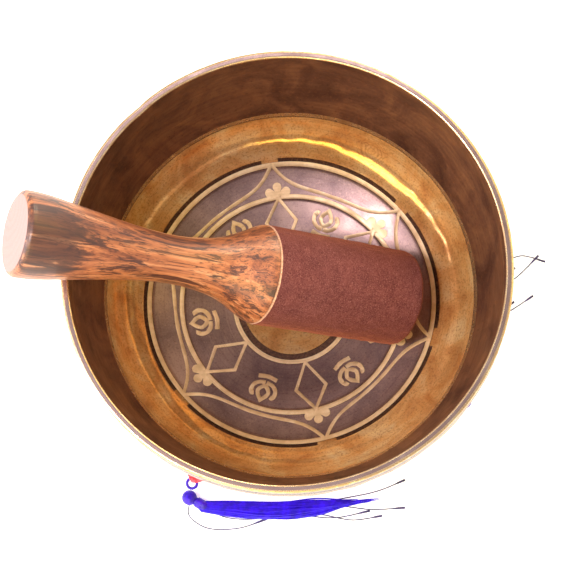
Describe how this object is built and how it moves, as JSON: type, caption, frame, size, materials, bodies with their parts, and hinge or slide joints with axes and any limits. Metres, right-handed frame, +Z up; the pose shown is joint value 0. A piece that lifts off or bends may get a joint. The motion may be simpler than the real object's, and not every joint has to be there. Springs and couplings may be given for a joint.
{
  "type": "singing bowl",
  "caption": "Round bronze singing bowl on a small square tasselled cushion, with a turned wooden mallet that has a suede-covered head resting inside the bowl.",
  "frame": {"origin": "centre of the cushion's flat underside, on the surface it stands on", "axes": "+Z up out of the bowl, X and Y along the cushion's sides; the mallet's handle points to -X"},
  "size_m": [0.1746, 0.1543, 0.1217],
  "materials": {
    "bronze": "hammered and patinated, polished band and rim",
    "wood": "oiled and waxed, dark streaked grain",
    "suede": "napped suede",
    "brocade": "woven brocade",
    "backing": "plain woven cotton",
    "piping_cord": "twisted satin cord",
    "wadding": "cotton wadding",
    "floss": "glossy rayon floss"
  },
  "bodies": {
    "cushion": {"cushion_top_panel": "brocade", "cushion_bottom_panel": "backing", "cushion_piping": "piping_cord", "cushion_filling": "wadding", "tassel_loop_front_left": "floss", "tassel_loop_front_right": "floss", "tassel_loop_back_right": "floss", "tassel_loop_back_left": "floss"},
    "bowl": {"bowl": "bronze"},
    "mallet": {"mallet_handle": "wood", "suede_sleeve": "suede"},
    "tassel_front_left": {"tassel_knot_front_left": "floss", "tassel_binding_front_left": "floss", "tassel_skirt_front_left": "floss"},
    "tassel_front_right": {"tassel_knot_front_right": "floss", "tassel_binding_front_right": "floss", "tassel_skirt_front_right": "floss"},
    "tassel_back_right": {"tassel_knot_back_right": "floss", "tassel_binding_back_right": "floss", "tassel_skirt_back_right": "floss"},
    "tassel_back_left": {"tassel_knot_back_left": "floss", "tassel_binding_back_left": "floss", "tassel_skirt_back_left": "floss"}
  },
  "joints": [
    {"name": "bowl_lift", "type": "slide", "parent": "cushion", "child": "bowl", "axis": [0, 0, 1], "range_m": [0, 0.12]},
    {"name": "mallet_lift", "type": "slide", "parent": "bowl", "child": "mallet", "axis": [0, 0, 1], "range_m": [0, 0.15]},
    {"name": "tassel_swing_front_left", "type": "hinge", "parent": "cushion", "child": "tassel_front_left", "pos_m": [-0.05341, -0.05341, 0.00675], "axis": [0, 0, 1], "range_deg": [-110, 8]},
    {"name": "tassel_swing_front_right", "type": "hinge", "parent": "cushion", "child": "tassel_front_right", "pos_m": [0.05341, -0.05341, 0.00675], "axis": [0, 0, 1], "range_deg": [-110, 16]},
    {"name": "tassel_swing_back_right", "type": "hinge", "parent": "cushion", "child": "tassel_back_right", "pos_m": [0.05341, 0.05341, 0.00675], "axis": [0, 0, 1], "range_deg": [-110, 8]},
    {"name": "tassel_swing_back_left", "type": "hinge", "parent": "cushion", "child": "tassel_back_left", "pos_m": [-0.05341, 0.05341, 0.00675], "axis": [0, 0, 1], "range_deg": [-110, 8]}
  ]
}
